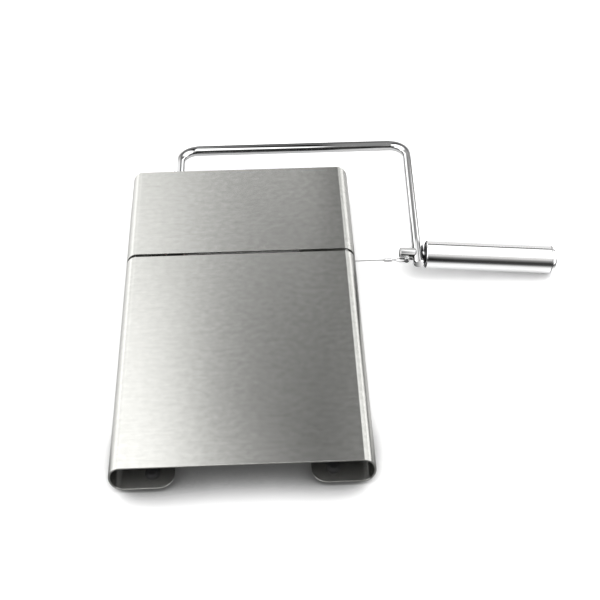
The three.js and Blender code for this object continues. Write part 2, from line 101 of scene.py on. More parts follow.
DIFFUSE_WORLD = 0.95                # even light on matt surfaces
DIFFUSE_FLOOR = 0.91                # the floor's whiteness, as matt surfaces see it
FLOOR_BOOST = 1.9                   # how much brighter the camera sees the floor
# Painted shadow on the floor: ambient occlusion darkens the colour the camera sees, strongly in front of the
# board and weakly elsewhere.
SHADOW_REACH = 0.05                 # how far the floor looks up for what hides its light
SHADOW_DARK, SHADOW_LIGHT = 0.35, 0.9
DEEPEST_SHADOW = 0.85
SHADOW_FRONT = -0.085               # behind this line the floor's shadows are weak
SIDE_SHADOW = 0.42                  # their strength there
# Painted reflection: the floor under the handle is shown brighter in the metal.
MIRRORED_FLOOR = 1.8                # the floor just under a rod, as the rod shows it
# Painted shade: seen after two reflections, inside the curls, the white floor is coloured nearly black.
DEEP_FLOOR = 0.05                   # the floor after two reflections, inside the curls
FLOOR_HALF = 6.0
CEILING_Z = 0.6                     # height of the reflected light card
CARD_LOW, CARD_HIGH = Vector((-1.2, -0.4)), Vector((1.6, 1.3))
CARD_BACK, CARD_DEPTH = 0.287, 0.47     # where the card's gradient begins, and how deep it is
CARD_SLANT = 0.45                   # how far the gradient leans in front of that line
CARD_GAP, CARD_RIGHT = 0.30, 1.7    # light in the grey gap, and to the right of it
CARD_STRIP = 0.2                    # a dark strip at the back right, which the handle shows
LEG_SHADE, BAR_SHADE = 0.28, 0.15   # darker areas that only the arm's leg, or its back bar, shows
DEEP_WORLD_LOSS = 0.95              # how much of the studio is lost after two reflections

# ---------------------------------------------------------------- camera

CAMERA_AT = Vector((17.9717, -386.6855, 443.6242)) * MM
CAMERA_ANGLES = (-2.11956, 49.02753, -0.25936)      # degrees: azimuth, elevation, roll
CAMERA_LENS = 64.75
SIDE_WORLD = 1.9                    # light from the left and right, on the curls

# ---------------------------------------------------------------- mesh helpers


def finish_mesh(name, verts, faces, material, body, replaces=(), slot=None, uvs=None, sharp=35):
    """Makes a smooth-shaded object from points in metres and rides it on its body."""
    mesh = bpy.data.meshes.new(name)
    mesh.from_pydata([tuple(v) for v in verts], [], faces)
    if uvs:
        layer = mesh.uv_layers.new(name="surface")
        for loop in mesh.loops:
            layer.data[loop.index].uv = uvs[loop.vertex_index]
    piece = bpy.data.objects.new(name, mesh)
    bpy.context.scene.collection.objects.link(piece)
    mesh.materials.append(material)
    tidy_normals(piece, sharp)
    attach(piece, body)
    if replaces:
        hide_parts(*replaces)
    return piece


def face_outwards(mesh):
    work = bmesh.new()
    work.from_mesh(mesh)
    bmesh.ops.recalc_face_normals(work, faces=work.faces)
    work.to_mesh(mesh)
    work.free()


def tidy_normals(piece, sharp=35):
    """Smooth shading, except across edges that turn by more than sharp degrees."""
    mesh = piece.data
    face_outwards(mesh)
    mesh.polygons.foreach_set("use_smooth", [True] * len(mesh.polygons))
    mesh.set_sharp_from_angle(angle=math.radians(sharp))
    weighted = piece.modifiers.new("weighted_normals", "WEIGHTED_NORMAL")
    weighted.keep_sharp = True


def filleted(corners, steps=4):
    """A polyline from (radius, height, rounding) corners, each corner replaced by an arc."""
    points = [Vector(c[:2]) for c in corners]
    out = []
    for i, corner in enumerate(corners):
        rounding = corner[2] if len(corner) > 2 else 0
        if not rounding or i in (0, len(corners) - 1):
            out.append(points[i])
            continue
        before = (points[i - 1] - points[i]).normalized()
        after = (points[i + 1] - points[i]).normalized()
        half = before.angle(after) / 2
        reach = rounding / math.tan(half)
        centre = points[i] + (before + after).normalized() * (rounding / math.sin(half))
        start = points[i] + before * reach - centre
        turn = start.angle_signed(points[i] + after * reach - centre)
        for k in range(steps + 1):
            arm = start.copy()
            arm.rotate(Matrix.Rotation(-turn * k / steps, 2))
            out.append(centre + arm)
    return out


def wall(low, high):
    """Quads between two closed rows of points."""
    count = len(low)
    return [[low[k], low[(k + 1) % count], high[(k + 1) % count], high[k]] for k in range(count)]


def ring(centre, side, across, radius, segments):
    """Points of a circle and, for each, its way round from the seam's far side."""
    points, rounds = [], []
    for k in range(segments):
        angle = 2 * math.pi * k / segments
        points.append(centre + (side * math.cos(angle) + across * math.sin(angle)) * radius)
        rounds.append(abs(angle - math.pi) * radius)
    return points, rounds


def lathe(profile, origin, axis, segments=64):
    """Turns (radius, height) points about an axis. Ends on it close as fans; a loop closes on itself."""
    axis = Vector(axis).normalized()
    side = axis.orthogonal().normalized()
    across = axis.cross(side)
    closed = (profile[0] - profile[-1]).length < 1e-9
    rings = profile[:-1] if closed else profile
    verts, uvs, index = [], [], []
    for point in rings:
        radius, height = point
        if radius < 1e-9:
            index.append([len(verts)] * segments)
            verts.append(origin + axis * height)
            uvs.append((0, height))
            continue
        points, rounds = ring(origin + axis * height, side, across, radius, segments)
        index.append(list(range(len(verts), len(verts) + segments)))
        verts += points
        uvs += [(way, height) for way in rounds]
    faces = []
    count = len(index)
    for i in range(count if closed else count - 1):
        for quad in wall(index[i], index[(i + 1) % count]):
            face = [v for j, v in enumerate(quad) if v not in quad[:j]]
            if len(face) > 2:
                faces.append(face)
    return verts, faces, uvs


def turned(name, corners, origin, axis, material, body, segments=64, **options):
    profile = filleted([(r * MM, h * MM, *(f * MM for f in rest)) for r, h, *rest in corners])
    verts, faces, uvs = lathe(profile, origin, axis, segments)
    return finish_mesh(name, verts, faces, material, body, uvs=uvs, **options)


def tube(points, radii, segments=24):
    """A round tube along points, with a radius at each point and flat ends."""
    points = [Vector(p) for p in points]
    last = len(points) - 1
    tangents = [(points[min(i + 1, last)] - points[max(i - 1, 0)]).normalized() for i in range(last + 1)]
    side = tangents[0].orthogonal().normalized()
    verts, uvs, length = [], [], 0.0
    for i, point in enumerate(points):
        if i:
            length += (point - points[i - 1]).length
            side = tangents[i - 1].rotation_difference(tangents[i]) @ side
        side = (side - tangents[i] * side.dot(tangents[i])).normalized()
        circle, rounds = ring(point, side, tangents[i].cross(side), radii[i], segments)
        verts += circle
        uvs += [(way, length) for way in rounds]
    rows = [range(i * segments, (i + 1) * segments) for i in range(last + 1)]
    faces = [quad for low, high in zip(rows, rows[1:]) for quad in wall(low, high)]
    for row, point, height in ((rows[0], points[0], 0.0), (rows[-1], points[-1], length)):
        centre = len(verts)
        verts.append(point)
        uvs.append((0, height))
        faces += [[row[k], row[(k + 1) % segments], centre] for k in range(segments)]
    return verts, faces, uvs


def cut_with(piece, cutters):
    """Cuts closed meshes, given as (verts, faces), out of a piece and keeps the result as its mesh."""
    helpers = []
    for i, (verts, faces) in enumerate(cutters):
        mesh = bpy.data.meshes.new(f"cutter_{i}")
        mesh.from_pydata([tuple(v) for v in verts], [], faces)
        face_outwards(mesh)
        helper = bpy.data.objects.new(f"cutter_{i}", mesh)
        bpy.context.scene.collection.objects.link(helper)
        helpers.append(helper)
        cut = piece.modifiers.new(f"cut_{i}", "BOOLEAN")
        cut.object = helper
        cut.operation = "DIFFERENCE"
        cut.solver = "EXACT"
    piece.modifiers.remove(piece.modifiers["weighted_normals"])
    bpy.context.view_layer.update()
    result = bpy.data.meshes.new_from_object(piece.evaluated_get(bpy.context.evaluated_depsgraph_get()))
    piece.modifiers.clear()
    piece.data = result
    for helper in helpers:
        bpy.data.objects.remove(helper)
    tidy_normals(piece)
    return piece


# ---------------------------------------------------------------- shader helpers


class Nodes:
    """Builds a node tree with short calls; every call returns an output socket."""

    def __init__(self, tree):
        self.tree = tree
        self.tree.nodes.clear()

    def node(self, kind, **settings):
        node = self.tree.nodes.new(kind)
        for key, value in settings.items():
            setattr(node, key, value)
        return node

    def put(self, socket, value):
        if isinstance(value, bpy.types.NodeSocket):
            self.tree.links.new(value, socket)
        elif value is not None:
            socket.default_value = value

    def math(self, operation, a, b=None, c=None, clamp=False):
        node = self.node("ShaderNodeMath", operation=operation, use_clamp=clamp)
        for socket, value in zip(node.inputs, (a, b, c)):
            self.put(socket, value)
        return node.outputs[0]

    def step(self, value, low, high, out_low=0.0, out_high=1.0):
        node = self.node("ShaderNodeMapRange", interpolation_type="SMOOTHSTEP")
        settings = {"Value": value, "From Min": low, "From Max": high, "To Min": out_low, "To Max": out_high}
        for key, setting in settings.items():
            self.put(node.inputs[key], setting)
        return node.outputs[0]

    def mix(self, share, a, b):
        node = self.node("ShaderNodeMix", data_type="RGBA")
        self.put(node.inputs[0], share)
        self.put(node.inputs[6], a)
        self.put(node.inputs[7], b)
        return node.outputs[2]

    def noise(self, vector, scale, detail=3.0, rough=0.55):
        node = self.node("ShaderNodeTexNoise")
        self.put(node.inputs["Vector"], vector)
        self.put(node.inputs["Scale"], scale)
        self.put(node.inputs["Detail"], detail)
        self.put(node.inputs["Roughness"], rough)
        return node.outputs["Fac"]

    def parts(self, vector):
        """The x, y and z of a vector."""
        node = self.node("ShaderNodeSeparateXYZ")
        self.put(node.inputs[0], vector)
        return node.outputs

    def toward(self, share, start, end):
        """A number moved from start to end by share."""
        return self.math("MULTIPLY_ADD", share, self.math("SUBTRACT", end, start), start)

    def stretched(self, vector, scale):
        node = self.node("ShaderNodeMapping")
        self.put(node.inputs["Vector"], vector)
        node.inputs["Scale"].default_value = scale
        return node.outputs[0]

    def bump(self, height, strength, distance, normal=None):
        node = self.node("ShaderNodeBump")
        self.put(node.inputs["Height"], height)
        self.put(node.inputs["Strength"], strength)
        self.put(node.inputs["Distance"], distance)
        self.put(node.inputs["Normal"], normal)
        return node.outputs[0]

    def principled(self, **inputs):
        node = self.node("ShaderNodeBsdfPrincipled")
        for key, value in inputs.items():
            self.put(node.inputs[key.replace("_", " ")], value)
        self.output("ShaderNodeOutputMaterial", node)

    def output(self, kind, shader):
        self.put(self.node(kind).inputs[0], shader.outputs[0])

    def background(self, colour, strength):
        node = self.node("ShaderNodeBackground")
        self.put(node.inputs[0], colour)
        self.put(node.inputs[1], strength)
        return node

    def mix_shaders(self, share, a, b):
        node = self.node("ShaderNodeMixShader")
        for socket, value in zip(node.inputs, (share, a.outputs[0], b.outputs[0])):
            self.put(socket, value)
        return node


def new_material(name):
    material = bpy.data.materials.new(name)
    material.use_nodes = True
    return material, Nodes(material.node_tree)


def grey(value, warm=0.0):
    return (value * (1 + warm), value, value * (1 - warm), 1)


# ---------------------------------------------------------------- materials


def brushed_board():
    """Satin stainless: brush lines across the board and round the curls, a soft mottle and faint smudges."""
    material, n = new_material("brushed_stainless")
    uv = n.node("ShaderNodeUVMap", uv_map="surface").outputs[0]
    fine = n.noise(n.stretched(uv, (120, 3000, 1)), 1.0, 2.0)
    coarse = n.noise(n.stretched(uv, (75, 850, 1)), 1.0, 3.0)
    streaks = n.noise(n.stretched(uv, (6, 330, 1)), 1.0, 2.0)
    mottle = n.noise(n.stretched(uv, (260, 330, 1)), 1.0, 1.0)
    mottled = n.step(n.parts(uv)[0], -0.045, -0.010, 0.38, 0.70)
    smudge = n.noise(uv, 20.0, 3.0, 0.5)
    lines = n.math("MULTIPLY_ADD", coarse, 0.75, n.math("MULTIPLY", fine, 0.25))
    tone = n.math("MULTIPLY", n.math("SUBTRACT", lines, 0.5), 0.40)
    tone = n.math("MULTIPLY_ADD", n.math("SUBTRACT", streaks, 0.5), 0.12, tone)
    tone = n.math("MULTIPLY_ADD", n.math("SUBTRACT", mottle, 0.5), mottled, tone)
    tone = n.math("SUBTRACT", tone, n.step(smudge, 0.45, 0.80, 0.0, 0.10))
    colour = n.mix(n.math("ADD", tone, 0.5, clamp=True), (0.465, 0.465, 0.441, 1), (0.70, 0.70, 0.675, 1))
    rough = n.math("MULTIPLY_ADD", n.math("SUBTRACT", lines, 0.5), 0.02, 0.23)
    rough = n.math("MULTIPLY_ADD", smudge, 0.04, rough)
    tangent = n.node("ShaderNodeTangent", direction_type="UV_MAP", uv_map="surface").outputs[0]
    n.principled(Base_Color=colour, Metallic=1.0, Roughness=rough, Anisotropic=0.96,
                 Anisotropic_Rotation=0.25, Tangent=tangent, Normal=n.bump(lines, 0.03, 0.00002))
    return material


def bright_chrome(name="bright_chrome", tint=0.80, rough=0.05, lines_around=0.0):
    """Plated or polished steel: nearly a mirror, a little uneven and dulled, with fine rub marks."""
    material, n = new_material(name)
    uv = n.node("ShaderNodeUVMap", uv_map="surface").outputs[0]
    place = n.node("ShaderNodeTexCoord").outputs["Object"]
    waves = n.noise(place, 160.0, 2.0)
    rub = n.noise(n.stretched(uv, (90, 2600, 1)), 1.0, 3.0)
    marks = n.noise(n.stretched(place, (900, 900, 900)), 1.0, 3.0, 0.7)
    dull = n.noise(place, 55.0, 3.0)
    height = n.math("MULTIPLY_ADD", rub, 0.3 + lines_around, n.math("MULTIPLY", waves, 0.7))
    roughness = n.math("ADD", rough, n.step(dull, 0.5, 0.75, 0.0, 0.05))
    rub_depth = 0.08 * (1 + lines_around)
    roughness = n.math("MULTIPLY_ADD", n.math("SUBTRACT", rub, 0.5), rub_depth, roughness)
    roughness = n.math("ADD", roughness, n.step(marks, 0.66, 0.74, 0.0, 0.12))
    colour = n.mix(n.step(dull, 0.4, 0.8), grey(tint, -0.004), grey(tint * 0.93, 0.008))
    n.principled(Base_Color=colour, Metallic=1.0, Roughness=roughness,
                 Normal=n.bump(height, 0.06, 0.00005))
    return material


def drawn_wire():
    material, n = new_material("wire_steel")
    uv = n.node("ShaderNodeUVMap", uv_map="surface").outputs[0]
    draw = n.noise(n.stretched(uv, (9000, 160, 1)), 1.0, 2.0)
    colour = n.mix(draw, grey(0.86), grey(0.96))
    n.principled(Base_Color=colour, Metallic=1.0, Roughness=n.step(draw, 0.2, 0.8, 0.16, 0.34),
                 Normal=n.bump(draw, 0.15, 0.00002))
    return material


def zinc_plate(name="zinc_steel", dark=(0.42, 0.43, 0.44, 1), light=(0.70, 0.70, 0.68, 1)):
    """Dull zinc plate: cloudy crystals, soft scuffs and a slightly warm bloom."""
    material, n = new_material(name)
    place = n.node("ShaderNodeTexCoord").outputs["Object"]
    grain = n.node("ShaderNodeTexVoronoi")
    n.put(grain.inputs["Vector"], place)
    grain.inputs["Scale"].default_value = 1400.0
    cloud = n.noise(place, 240.0, 4.0, 0.6)
    shade = n.math("MULTIPLY_ADD", grain.outputs["Distance"], 0.35, n.math("MULTIPLY", cloud, 0.65))
    colour = n.mix(shade, dark, light)
    n.principled(Base_Color=colour, Metallic=1.0, Roughness=n.step(cloud, 0.3, 0.7, 0.34, 0.55),
                 Normal=n.bump(shade, 0.2, 0.00005))
    return material


def spring_steel():
    material, n = new_material("spring_steel")
    place = n.node("ShaderNodeTexCoord").outputs["Object"]
    cloud = n.noise(place, 420.0, 4.0, 0.65)
    colour = n.mix(cloud, (0.16, 0.165, 0.18, 1), (0.36, 0.36, 0.37, 1))
    n.principled(Base_Color=colour, Metallic=1.0, Roughness=n.step(cloud, 0.3, 0.7, 0.28, 0.42),
                 Normal=n.bump(cloud, 0.15, 0.00003))
    return material


def white_nylon():
    material, n = new_material("white_nylon")
    place = n.node("ShaderNodeTexCoord").outputs["Object"]
    cloud = n.noise(place, 300.0, 3.0)
    pores = n.noise(place, 2600.0, 2.0)
    colour = n.mix(cloud, (0.80, 0.78, 0.71, 1), (0.88, 0.87, 0.82, 1))
    n.principled(Base_Color=colour, Roughness=n.step(cloud, 0.3, 0.7, 0.38, 0.55),
                 Subsurface_Weight=0.15, Subsurface_Scale=0.001, Normal=n.bump(pores, 0.12, 0.00004))
    return material


def black_rubber():
    """Moulded rubber: fine pebble and a paler, dusty bloom."""
    material, n = new_material("black_rubber")
    place = n.node("ShaderNodeTexCoord").outputs["Object"]
    pebble = n.noise(place, 3200.0, 2.0)
    dust = n.noise(place, 260.0, 5.0, 0.7)
    colour = n.mix(n.step(dust, 0.48, 0.8), (0.012, 0.012, 0.013, 1), (0.055, 0.053, 0.050, 1))
    n.principled(Base_Color=colour, Roughness=n.step(dust, 0.3, 0.8, 0.58, 0.85),
                 Normal=n.bump(pebble, 0.25, 0.00006))
    return material


def pale_floor():
    """Matt white sweep. The camera sees it bright, with a painted soft shadow from ambient occlusion on top
    of its real shading; metal sees mirrored_floor instead.
    """
    material, n = new_material("pale_floor")
    x, y, _ = n.parts(n.node("ShaderNodeTexCoord").outputs["Object"])
    hidden = n.node("ShaderNodeAmbientOcclusion", samples=16)
    hidden.inputs["Distance"].default_value = SHADOW_REACH
    # painted shadow: the occlusion darkens the colour that the camera sees
    shade = n.step(hidden.outputs["AO"], SHADOW_DARK, SHADOW_LIGHT, DEEPEST_SHADOW, 0.0)
    shade = n.math("MULTIPLY", shade, n.step(y, SHADOW_FRONT, SHADOW_FRONT + 0.03, 1.0, SIDE_SHADOW))
    seen = n.mix(shade, grey(FLOOR_BOOST), grey(0.0))
    rays = n.node("ShaderNodeLightPath")
    # painted shade: deep reflections see the floor nearly black
    deep = n.math("GREATER_THAN", rays.outputs["Glossy Depth"], 1.5)
    mirrored = n.mix(deep, mirrored_floor(n, x, y), grey(DEEP_FLOOR))
    tone = n.mix(rays.outputs["Is Glossy Ray"], grey(DIFFUSE_FLOOR), mirrored)
    matt = n.node("ShaderNodeBsdfDiffuse")
    n.put(matt.inputs["Color"], n.mix(rays.outputs["Is Camera Ray"], tone, seen))
    n.output("ShaderNodeOutputMaterial", matt)
    return material


def mirrored_floor(n, x, y):
    """The floor's colour in polished metal, which depends on how steeply the metal looks down at it. These
    are painted reflections: the white floor is made darker or brighter region by region, with painted shade
    in front of the board and under the bolt and a painted bright patch under the handle.
    """
    steep = n.parts(n.node("ShaderNodeNewGeometry").outputs["Incoming"])[2]
    far = n.mix(n.step(y, 0.03, 0.05), grey(0.08), grey(1.2))       # front right, back right
    far = n.mix(n.step(x, 0.075, 0.095), grey(0.25), far)           # beside the board
    far = n.mix(n.step(x, -0.06, 0.0), grey(1.5), far)              # left of the board
    # painted shade in the reflection, in front of the board
    near = n.mix(n.step(y, -0.10, -0.06), grey(0.30), grey(1.0))    # in front of the board, elsewhere
    # painted shade in the reflection, under the bolt
    bolt = n.math("MULTIPLY", n.step(y, 0.005, 0.015), n.step(y, 0.055, 0.070, 1.0, 0.0))
    near = n.mix(n.math("MULTIPLY", bolt, n.step(x, 0.078, 0.085)), near, grey(0.15))
    # painted bright reflection, under the handle
    handle = n.math("MULTIPLY", n.step(x, 0.100, 0.108), n.step(steep, 0.1, 0.8))
    near = n.mix(handle, near, grey(MIRRORED_FLOOR))
    return n.mix(n.step(steep, 0.05, 0.55), far, near)


# ---------------------------------------------------------------- the folded board

FLAT_HALF = BOARD_HIGH.x - BEND_REACH
MID_Z = (BOARD_LOW.z + BOARD_HIGH.z) / 2
ARC_ACROSS = BEND_REACH - SHEET / 2
ARC_UP = (BOARD_HIGH.z - BOARD_LOW.z - SHEET) / 2
ARC_STEPS = 400
BENDS = 30                          # fold lines that a curl is divided by


def curl_table():
    """Length along the curl's middle line at equal steps of its angle, from the top to the flange."""
    lengths, before = [0.0], None
    for i in range(ARC_STEPS + 1):
        angle = math.pi / 2 - math.pi * i / ARC_STEPS
        here = Vector((ARC_ACROSS * math.cos(angle), ARC_UP * math.sin(angle)))
        if before is not None:
            lengths.append(lengths[-1] + (here - before).length)
        before = here
    return lengths


CURL = curl_table()
CURL_LENGTH = CURL[-1]
PATTERN_HALF = FLAT_HALF + CURL_LENGTH + FLAT_HALF - FLANGE_END


def curl_angle(distance):
    """The curl's angle at a distance along it."""
    low, high = 0, ARC_STEPS
    while high - low > 1:
        middle = (low + high) // 2
        if CURL[middle] <= distance:
            low = middle
        else:
            high = middle
    share = (distance - CURL[low]) / (CURL[high] - CURL[low])
    return math.pi / 2 - math.pi * (low + min(max(share, 0), 1)) / ARC_STEPS


def fold(s, y, lift):
    """Folds a point of the flat pattern: s across from the middle, y along, lift outwards from mid-sheet."""
    side = 1 if s >= 0 else -1
    run = abs(s)
    if run <= FLAT_HALF:
        return Vector((s, y, BOARD_HIGH.z - SHEET / 2 + lift))
    if run <= FLAT_HALF + CURL_LENGTH:
        angle = curl_angle(run - FLAT_HALF)
        normal = Vector((math.cos(angle) / ARC_ACROSS, math.sin(angle) / ARC_UP)).normalized()
        x = FLAT_HALF + ARC_ACROSS * math.cos(angle) + normal.x * lift
        return Vector((side * x, y, MID_Z + ARC_UP * math.sin(angle) + normal.y * lift))
    x = FLAT_HALF - (run - FLAT_HALF - CURL_LENGTH)
    return Vector((side * x, y, BOARD_LOW.z + SHEET / 2 - lift))


def fold_lines():
    return [FLAT_HALF + CURL_LENGTH * i / BENDS for i in range(BENDS + 1)]


def slot_end():
    """Where along the pattern the slot's round end is centred."""
    angle = math.asin((SLOT_BOTTOM - MID_Z) / ARC_UP)
    index = (math.pi / 2 - angle) / math.pi * ARC_STEPS
    return FLAT_HALF + CURL[int(round(index))]


def corner_arc(centre, radius, start, end, steps=8):
    return [centre + Vector((math.cos(a), math.sin(a))) * radius
            for a in (math.radians(start + (end - start) * k / steps) for k in range(steps + 1))]


def outer_loop(inset):
    """The flat pattern's outline, anticlockwise, moved inwards by inset."""
    half = BOARD_HIGH.y - inset
    edge = PATTERN_HALF - inset
    centre_s, centre_y = PATTERN_HALF - FLANGE_CORNER, BOARD_HIGH.y - FLANGE_CORNER
    radius = FLANGE_CORNER - inset
    lines = [s for s in fold_lines() if s < centre_s - 1e-6]
    across = [-s for s in reversed(lines)] + lines
    loop = [Vector((s, -half)) for s in across]
    loop += corner_arc(Vector((centre_s, -centre_y)), radius, -90, 0)
    loop += [Vector((edge, y * half)) for y in (-0.6, -0.2, 0.2, 0.6)]
    loop += corner_arc(Vector((centre_s, centre_y)), radius, 0, 90)
    loop += [Vector((s, half)) for s in reversed(across)]
    loop += corner_arc(Vector((-centre_s, centre_y)), radius, 90, 180)
    loop += [Vector((-edge, y * half)) for y in (0.6, 0.2, -0.2, -0.6)]
    loop += corner_arc(Vector((-centre_s, -centre_y)), radius, 180, 270)
    return loop


def slot_loop(inset):
    """The slot's outline, clockwise, with its ends rounded; inset widens it."""
    half = SLOT_WIDTH / 2 + inset
    end = slot_end()
    lines = [s for s in fold_lines() if s < end - 1e-6]
    across = [-s for s in reversed(lines)] + lines
    loop = corner_arc(Vector((-end, SLOT_Y)), half, 270, 90)
    loop += [Vector((s, SLOT_Y + half)) for s in across]
    loop += corner_arc(Vector((end, SLOT_Y)), half, 90, -90)
    loop += [Vector((s, SLOT_Y - half)) for s in reversed(across)]
    return loop


def hole_loop(centre, radius):
    def loop(inset):
        return [centre + Vector((math.cos(a), -math.sin(a))) * (radius + inset)
                for a in (2 * math.pi * k / 24 for k in range(24))]
    return loop


def flange_holes():
    """Centres on the pattern and radii of the holes for the feet's stems and the brackets' rivets."""
    holes = []
    for node in frame["nodes"]:
        if node.startswith(("foot_", "rivet_")):
            low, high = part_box(node)
            middle = (low + high) / 2
            s = 2 * FLAT_HALF + CURL_LENGTH - abs(middle.x)
            radius = FOOT_HOLE if node.startswith("foot_") else RIVET_HOLE
            holes.append((Vector((math.copysign(s, middle.x), middle.y)), radius))
    return holes


def board_mesh():
    holes = flange_holes()
    makers = [outer_loop, slot_loop] + [hole_loop(c, r) for c, r in holes]
    steps = 3
    rings = []
    for i in range(steps + 1):
        angle = math.pi / 2 * i / steps
        rings.append((EDGE * (1 - math.sin(angle)), SHEET / 2 - EDGE * (1 - math.cos(angle))))
    rings += [(inset, -lift) for inset, lift in reversed(rings)]
    verts, uvs, faces = [], [], []

    def add(point, lift):
        verts.append(fold(point.x, point.y, lift))
        uvs.append((point.x, point.y))
        return len(verts) - 1

    flat, edges, top, bottom = [], [], [], []
    for make in makers:
        rows = [[add(p, lift) for p in make(inset)] for inset, lift in rings]
        count = len(rows[0])
        for low, high in zip(rows, rows[1:]):
            faces += wall(low, high)
        start = len(flat)
        flat += make(EDGE)
        top += rows[0]
        bottom += rows[-1]
        edges += [(start + k, start + (k + 1) % count) for k in range(count)]
    for line in fold_lines():
        for s in (-line, line):
            if 0 < line - slot_end() + 1e-6 < SLOT_WIDTH:
                for y in (SLOT_Y - 2 * SLOT_WIDTH, SLOT_Y + 2 * SLOT_WIDTH):
                    flat.append(Vector((s, y)))
                    top.append(add(flat[-1], SHEET / 2))
                    bottom.append(add(flat[-1], -SHEET / 2))
            on_line = [i for _, i in sorted((p.y, i) for i, p in enumerate(flat) if abs(p.x - s) < 1e-7)]
            edges += list(zip(on_line[0::2], on_line[1::2]))
    scale = 1 / MM
    points, _, triangles, origins, _, _ = delaunay_2d_cdt([p * scale for p in flat], edges, [], 1, 1e-5)
    for triangle in triangles:
        middle = sum((points[v] for v in triangle), Vector((0, 0))) / 3 / scale
        if in_opening(middle, holes):
            continue
        ids = [origins[v][0] for v in triangle]
        faces.append([top[v] for v in ids])
        faces.append([bottom[v] for v in reversed(ids)])
    return verts, faces, uvs


def in_opening(point, holes):
    """True inside a hole's or the slot's flat outline."""
    if any((point - centre).length < CHORD * (radius + EDGE) for centre, radius in holes):
        return True
    along = min(max(point.x, -slot_end()), slot_end())
    return (point - Vector((along, SLOT_Y))).length < CHORD * (SLOT_WIDTH / 2 + EDGE)


def build_board(material):
    verts, faces, uvs = board_mesh()
    return finish_mesh("board_sheet", verts, faces, material, "board", ["board"], "brushed_stainless", uvs)


# ---------------------------------------------------------------- feet and pivot hardware


def build_feet(material):
    for name in ("foot_front_left", "foot_front_right", "foot_rear_left", "foot_rear_right"):
        low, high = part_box(name)
        middle = (low + high) / 2
        corners = [
            (0, 0.25), (4.7, 0.25, 0.2), (5.0, 0, 0.15), (6.6, 0, 0.5), (7, 1.2, 0.6), (6.8, 3, 0.4),
            (2.7, 3, 0.1), (2.7, 4.05, 0.1), (3.8, 4.05, 0.3), (3.5, 5.3, 0.6), (2.1, 6.35, 0.8), (0, 6.4),
        ]
        turned(f"{name}_rubber", corners, Vector((middle.x, middle.y, TABLE_Z)), UP, material, "board",
               replaces=[name], slot="black_rubber")


def build_rivets(material):
    corners = [
        (0, -1.1), (1.1, -1.08, 0.5), (2.5, -0.35, 0.6), (2.55, 0, 0.1), (1.5, 0), (1.5, 2.5),
        (2.8, 2.5, 0.1), (2.75, 2.9, 0.3), (1.9, 3.6, 0.8), (0.5, 3.8, 0.3), (0, 3.8),
    ]
    for name in frame["nodes"]:
        if name.startswith("rivet_"):
            low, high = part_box(name)
            middle = (low + high) / 2
            base = Vector((middle.x, middle.y, BOARD_LOW.z))
            turned(f"{name}_head", corners, base, UP, material, "board", 40,
                   replaces=[name], slot="zinc_steel")


def build_bushes(material):
    corners = [
        (3.26, 0.3), (3.5, 0), (6, 0, 0.25), (6, 1, 0.15), (4.3, 1), (4.3, 3.2, 0.3), (3.26, 3.2),
        (3.26, 0.3),
    ]
    for name, direction in (("pivot_bush_front", 1), ("pivot_bush_rear", -1)):
        low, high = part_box(name)
        start = Vector((PIVOT.x, low.y if direction > 0 else high.y, PIVOT.z))
        turned(f"{name}_nylon", corners, start, (0, direction, 0), material, "board",
               replaces=[name], slot="white_nylon")


def joined_faces(node):
    """A CAD node's points and faces in the frame, its loose triangles joined and its flat areas merged."""
    work = bmesh.new()
    work.from_mesh(node.data)
    work.transform(node.matrix_world)
    bmesh.ops.remove_doubles(work, verts=work.verts, dist=1e-7)
    bmesh.ops.dissolve_limit(work, angle_limit=math.radians(0.5), verts=work.verts, edges=work.edges)
    work.verts.index_update()
    verts = [v.co.copy() for v in work.verts]
    faces = [[v.index for v in face.verts] for face in work.faces]
    work.free()
    return verts, faces


def build_sheet_parts(zinc, spring):
    """The folded brackets and the clips: the CAD shapes again, with rounded edges."""
    kinds = (
        ("pivot_bracket_front", zinc, "board", "zinc_steel"),
        ("pivot_bracket_rear", zinc, "board", "zinc_steel"),
        ("retaining_clip_front", spring, "arm", "spring_steel"),
        ("retaining_clip_rear", spring, "arm", "spring_steel"),
    )
    for name, material, body, slot in kinds:
        verts, faces = joined_faces(frame["nodes"][name])
        piece = finish_mesh(f"{name}_rounded", verts, faces, material, body, [name], slot)
        round_edges = piece.modifiers.new("round_edges", "BEVEL")
        round_edges.width = EDGE_ROUNDING
        round_edges.segments = 2
        round_edges.limit_method = "ANGLE"
        round_edges.angle_limit = math.radians(40)
        piece.modifiers.move(1, 0)      # before the weighted normals


# ---------------------------------------------------------------- arm rod


def arc(centre, start, sweep, steps):
    """Points of a level arc about centre, starting at start, turning by sweep (clockwise from above)."""
    return [centre + Matrix.Rotation(-sweep * k / steps, 3, "Z") @ (start - centre) for k in range(steps + 1)]


